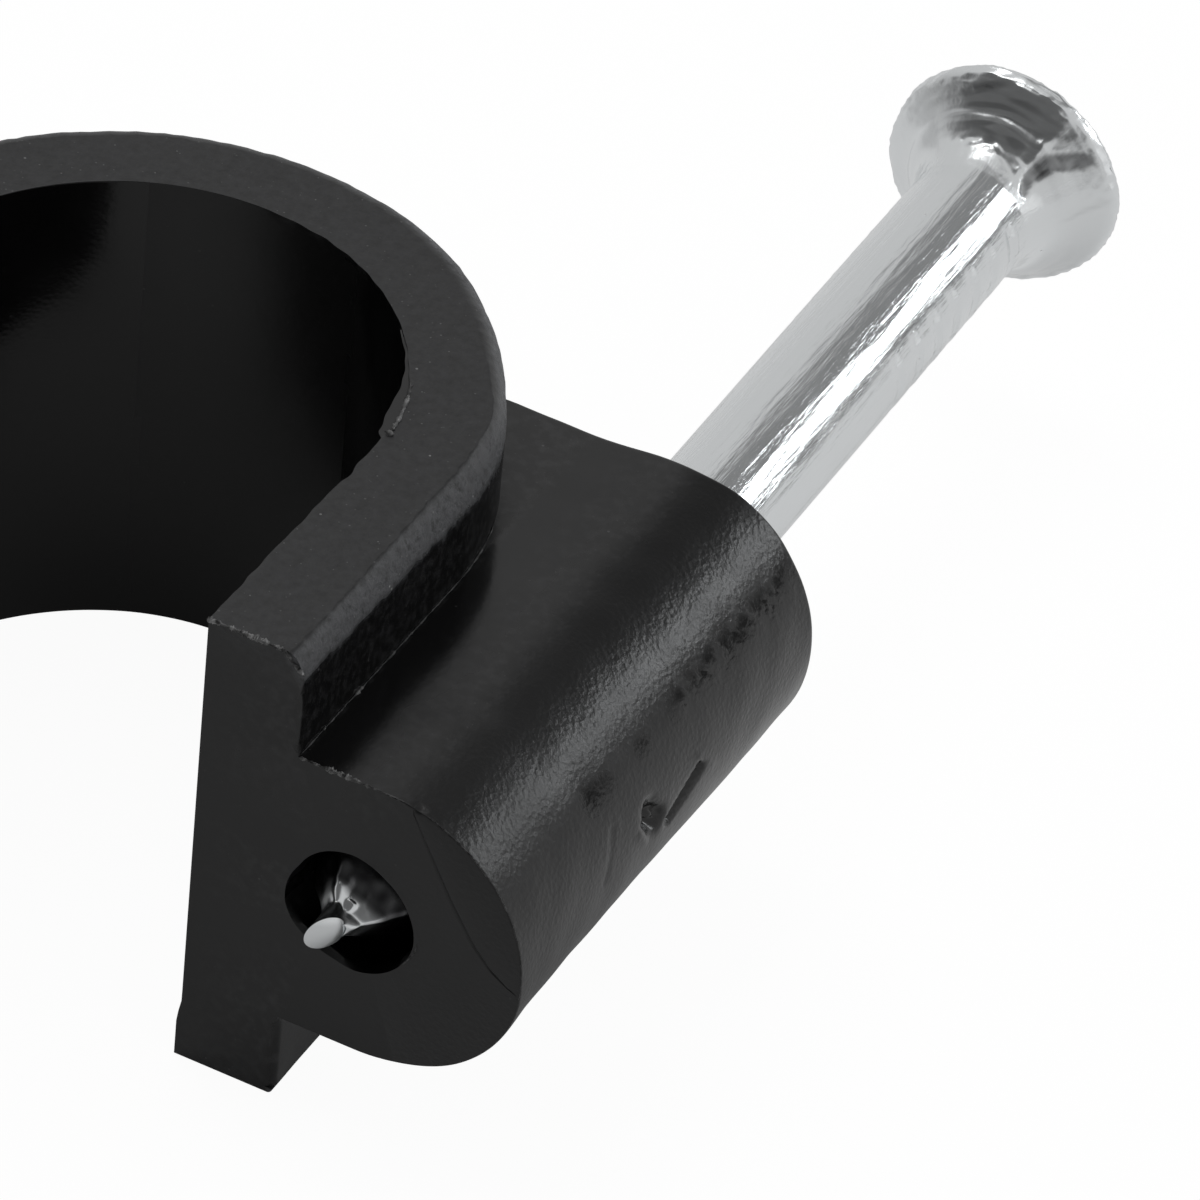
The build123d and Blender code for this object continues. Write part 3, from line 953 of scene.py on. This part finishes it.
def zinc_material():
    """Bright zinc plate over drawn wire: a soft mirror with lines along its length and small dark
    pits. Where the mesh carries painted shade, the colour goes nearly black."""
    material, tree, shader, place = new_material("bright_zinc")
    shader.inputs["Metallic"].default_value = 1
    pits = placed_group(tree, specks, place, Spacing=0.8, Size=0.022)
    pits_and_painted_shade = scaled(tree, pits, 0.3, attribute(tree, "pits_and_painted_shade"))
    # The dark colour is painted shade, and the small pits' own dark.
    colour = mixed_colour(tree, pits_and_painted_shade, (0.81, 0.83, 0.84, 1), (0.05, 0.05, 0.052, 1))
    tree.links.new(colour, shader.inputs["Base Color"])
    drawn = attribute(tree, "drawn")
    wire = {"Cell": 0.16, "Cell_Height": 0.014, "Grain": 0.03, "Grain_Height": 0.011, "Stretch": 12}
    lines = placed_group(tree, soft_relief, place, **wire)
    plate = {"Cell": 0.3, "Cell_Height": 0.002, "Grain": 0.1, "Grain_Height": 0.003}
    plate = placed_group(tree, soft_relief, place, **plate)
    height = scaled(tree, lines, drawn, plate)
    height = scaled(tree, pits, -0.001, height)
    tree.links.new(relief_bump(tree, height), shader.inputs["Normal"])
    rough = scaled(tree, noise(tree, place, 1.5 / MM, 4), 0.12, 0.18)
    rough = scaled(tree, drawn, -0.035, rough)
    tree.links.new(scaled(tree, pits, 0.2, rough), shader.inputs["Roughness"])
    return material


def finish_nail(mesh):
    """Each point carries how much of the wire's drawn lines it keeps, which is all on the shank and
    a fifth on the head, and how much painted shade darkens its colour: on the point's cuts deep in the
    bore, in the crack beside the seam, along one thin dark streak of painted reflection on the shank, and
    in darker patches and streaks over the flare."""
    spots = mesh_rows(mesh.vertices, "co")
    x, along, z = spots.T
    turn = np.degrees(np.arctan2(z - nail_z, x - nail_x - nail_lean * (along - lean_from)))
    kept = smooth_step(along, point_start, point_start + 1)
    store(mesh, "drawn", kept * (1 - 0.8 * smooth_step(along, 18.5, 19)))
    # Painted shade: the point's cuts deep in the bore are darkened.
    cuts = smooth_step(-along, 4.3, 4.9) * (1 - smooth_step(-along, 5.72, 5.9))
    cuts = cuts * (0.94 + 0.04 * ripple(spots, 0.3, 69))
    # Painted shade in the crack beside the seam.
    crack = seam_crack(along, turn) * (0.66 + 0.04 * ripple(spots, 0.25, 68))
    # Painted reflection: one thin dark streak down the shank beside its highlight.
    height_only = spots * (0, 1, 0)
    streak = wrapped(turn, 38 + 1.2 * ripple(height_only, 3, 70), 1.4)
    streak = streak * smooth_step(ripple(height_only, 1.6, 71), -0.6, 0.4)
    streak = 0.5 * streak * (1 - smooth_step(along, 18.4, 18.7))
    # Painted shade over the flare's reflections: darker patches, one thin dark line and dark streaks.
    on_flare = smooth_step(along, 19.1, 19.5) * smooth_step(20.1 - along, 0, 0.3)
    flare_shade = on_flare * (0.3 * wrapped(turn, 126, 13) + 0.3 * wrapped(turn, -62, 55))
    flare_shade += on_flare * 0.12 * wrapped(turn, 8 + 10 * (along - 19.5), 1.5)
    flare_streak_shade = smooth_step(ripple(drawn_place(along, turn), 0.12, 73), -0.4, 1.4) * wrapped(turn, 90, 34)
    flare_shade += 0.4 * flare_streak_shade * smooth_step(along, 19.05, 19.2) * (1 - smooth_step(along, 19.85, 19.95))
    store(mesh, "pits_and_painted_shade", np.clip(cuts + crack + streak + flare_shade, 0, 1))


body = nail_body()
whole = np.concatenate([body, nail_point(body[-1])])
nail_mesh = piece_mesh("nail_form", [(whole, grid_quads(*whole.shape[:2]))], 40)
finish_nail(nail_mesh)
show_piece("zinc_nail", nail_mesh, zinc_material(), "zinc_plated_steel", "nail")


# Setting: a white table and a soft white tent. The tent has dark gaps beside and under the back
# lamp and another behind the camera, and its low part behind the barrel is brighter. A second lamp
# hangs over the part's far side.
view_azimuth = 24.72
view_elevation = 39.29
view_roll = 5.75
view_distance = 199.61
view_centre = (7.944, 3.886, 0.263)
lens = 328.4


def heading(azimuth, elevation):
    """Unit vector out from the part. Azimuth 0 is on the wall's side (-Y), and 90 on +X."""
    turn, rise = math.radians(azimuth), math.radians(elevation)
    return Vector((math.sin(turn) * math.cos(rise), -math.cos(turn) * math.cos(rise), math.sin(rise)))


def make_camera():
    """The photograph's near-parallel view, from its azimuth, elevation and small roll."""
    back = heading(view_azimuth, view_elevation)
    data = bpy.data.cameras.new("camera")
    data.sensor_width = 36
    data.lens = lens
    data.clip_start = 0.01
    data.clip_end = 10
    camera = added("camera", data)
    turned = (-back).to_track_quat("-Z", "Y").to_matrix()
    turned = turned @ Matrix.Rotation(math.radians(view_roll), 3, "Z")
    place = Matrix.Translation((Vector(view_centre) + back * view_distance) * MM)
    camera.matrix_world = place @ turned.to_4x4()
    bpy.context.scene.camera = camera


def seen_share(tree, camera, mirror):
    """The share of plain white that a ray meets: camera for camera rays, mirror for glossy and
    transmission rays, and none for the rest."""
    rays = tree.nodes.new("ShaderNodeLightPath").outputs
    bounce = chain(tree, "MAXIMUM", rays["Is Glossy Ray"], rays["Is Transmission Ray"])
    bounce = chain(tree, "MULTIPLY", bounce, mirror)
    return scaled(tree, rays["Is Camera Ray"], camera, bounce)


def mixed_shader(tree, share, first, second):
    """The first node's shader where the share is 0 and the second's where it is 1."""
    return new_node(tree, "MixShader", {0: share, 1: first.outputs[0], 2: second.outputs[0]})


def make_table():
    """A white table top just under the clip's side face. From below it isn't there. Mirrors see a painted
    glow in it, a painted shadow of the part: its share of plain white rises from 0.08 near the part to
    0.36 towards the part's far side."""
    material, tree, shader, place = new_material("white_table")
    tree.nodes.remove(shader)
    x, y, _ = new_node(tree, "SeparateXYZ", {0: place}).outputs
    # Painted shadow: the glow that mirrors see is weak near the part and grows away from it.
    ends = {"From Min": 5 * MM, "From Max": 16 * MM, "To Min": 0.08, "To Max": 0.36}
    rise = {"Value": scaled(tree, x, 0.6, y), **ends}
    rise = new_node(tree, "MapRange", rise, interpolation_type="SMOOTHSTEP").outputs["Result"]
    matte = new_node(tree, "BsdfDiffuse", {"Color": (0.84, 0.84, 0.84, 1)})
    glow = new_node(tree, "Emission", {"Strength": 1.06})
    lit = mixed_shader(tree, seen_share(tree, 0.9, rise), matte, glow)
    below = tree.nodes.new("ShaderNodeNewGeometry").outputs["Backfacing"]
    lit = mixed_shader(tree, below, lit, new_node(tree, "BsdfTransparent", {}))
    tree.links.new(lit.outputs[0], tree.nodes["Material Output"].inputs["Surface"])
    reach = 1.5
    mesh = bpy.data.meshes.new("table")
    level = (clip_low[2] - 0.03) * MM
    corners = [(-reach, -reach), (reach, -reach), (reach, reach), (-reach, reach)]
    mesh.from_pydata([(x, y, level) for x, y in corners], [], [(0, 1, 2, 3)])
    mesh.materials.append(material)
    added("table", mesh)


def tent_gap(tree, direction, azimuth, elevation, inner, outer):
    """1 within the inner angle of a heading, 0 past the outer one, in degrees."""
    inputs = {0: direction, 1: heading(azimuth, elevation)}
    near = new_node(tree, "VectorMath", inputs, operation="DOT_PRODUCT").outputs["Value"]
    start, end = math.cos(math.radians(outer)), math.cos(math.radians(inner))
    inputs = {"Value": near, "From Min": start, "From Max": end}
    return new_node(tree, "MapRange", inputs, interpolation_type="SMOOTHSTEP").outputs["Result"]


def make_world():
    """The tent: white to the camera, and to everything else pale cloth, with one part brighter and
    its three gaps dark."""
    world = bpy.data.worlds.new("tent")
    world.use_nodes = True
    tree = world.node_tree
    direction = tree.nodes.new("ShaderNodeTexCoord").outputs["Generated"]
    beside_lamp = tent_gap(tree, direction, 165, 42, 12, 27)
    under_lamp = tent_gap(tree, direction, 136, 8, 4, 11)
    at_camera = tent_gap(tree, direction, -14, 42, 36, 62)
    gap = chain(tree, "MULTIPLY", beside_lamp, 0.78)
    gap = chain(tree, "MAXIMUM", gap, at_camera)
    gap = chain(tree, "MAXIMUM", under_lamp, gap)
    bright = tent_gap(tree, direction, 135, -6, 14, 50)
    cloth = mixed_colour(tree, bright, (0.57, 0.57, 0.57, 1), (0.85, 0.85, 0.85, 1))
    tent = tree.nodes["Background"]
    tree.links.new(mixed_colour(tree, gap, cloth, (0.04, 0.04, 0.04, 1)), tent.inputs["Color"])
    white = new_node(tree, "Background", {"Color": (1, 1, 1, 1)})
    tent = mixed_shader(tree, seen_share(tree, 1, 0.08), tent, white)
    tree.links.new(tent.outputs[0], tree.nodes["World Output"].inputs["Surface"])
    bpy.context.scene.world = world


def soft_box(name, azimuth, elevation, width, height, radiance, colour=(1, 1, 1)):
    """A rectangular lamp that faces the part from 400 mm, width across and height up in mm. Its
    power is radiance * pi * area."""
    out = heading(azimuth, elevation)
    data = bpy.data.lights.new(name, "AREA")
    data.shape = "RECTANGLE"
    data.size = width * MM
    data.size_y = height * MM
    data.energy = radiance * math.pi * data.size * data.size_y
    data.color = colour
    lamp = added(name, data)
    lamp.visible_camera = False
    lamp.location = (Vector((barrel_x, 0, 0)) + out * 400) * MM
    lamp.rotation_euler = out.to_track_quat("Z", "Y").to_euler()


make_camera()
make_table()
make_world()
soft_box("back_lamp", 141, 24.5, 150, 56, 6.2, (0.95, 0.98, 1.0))
soft_box("top_lamp", -112, 68, 170, 230, 1.9)

bpy.context.scene.view_settings.view_transform = "Standard"
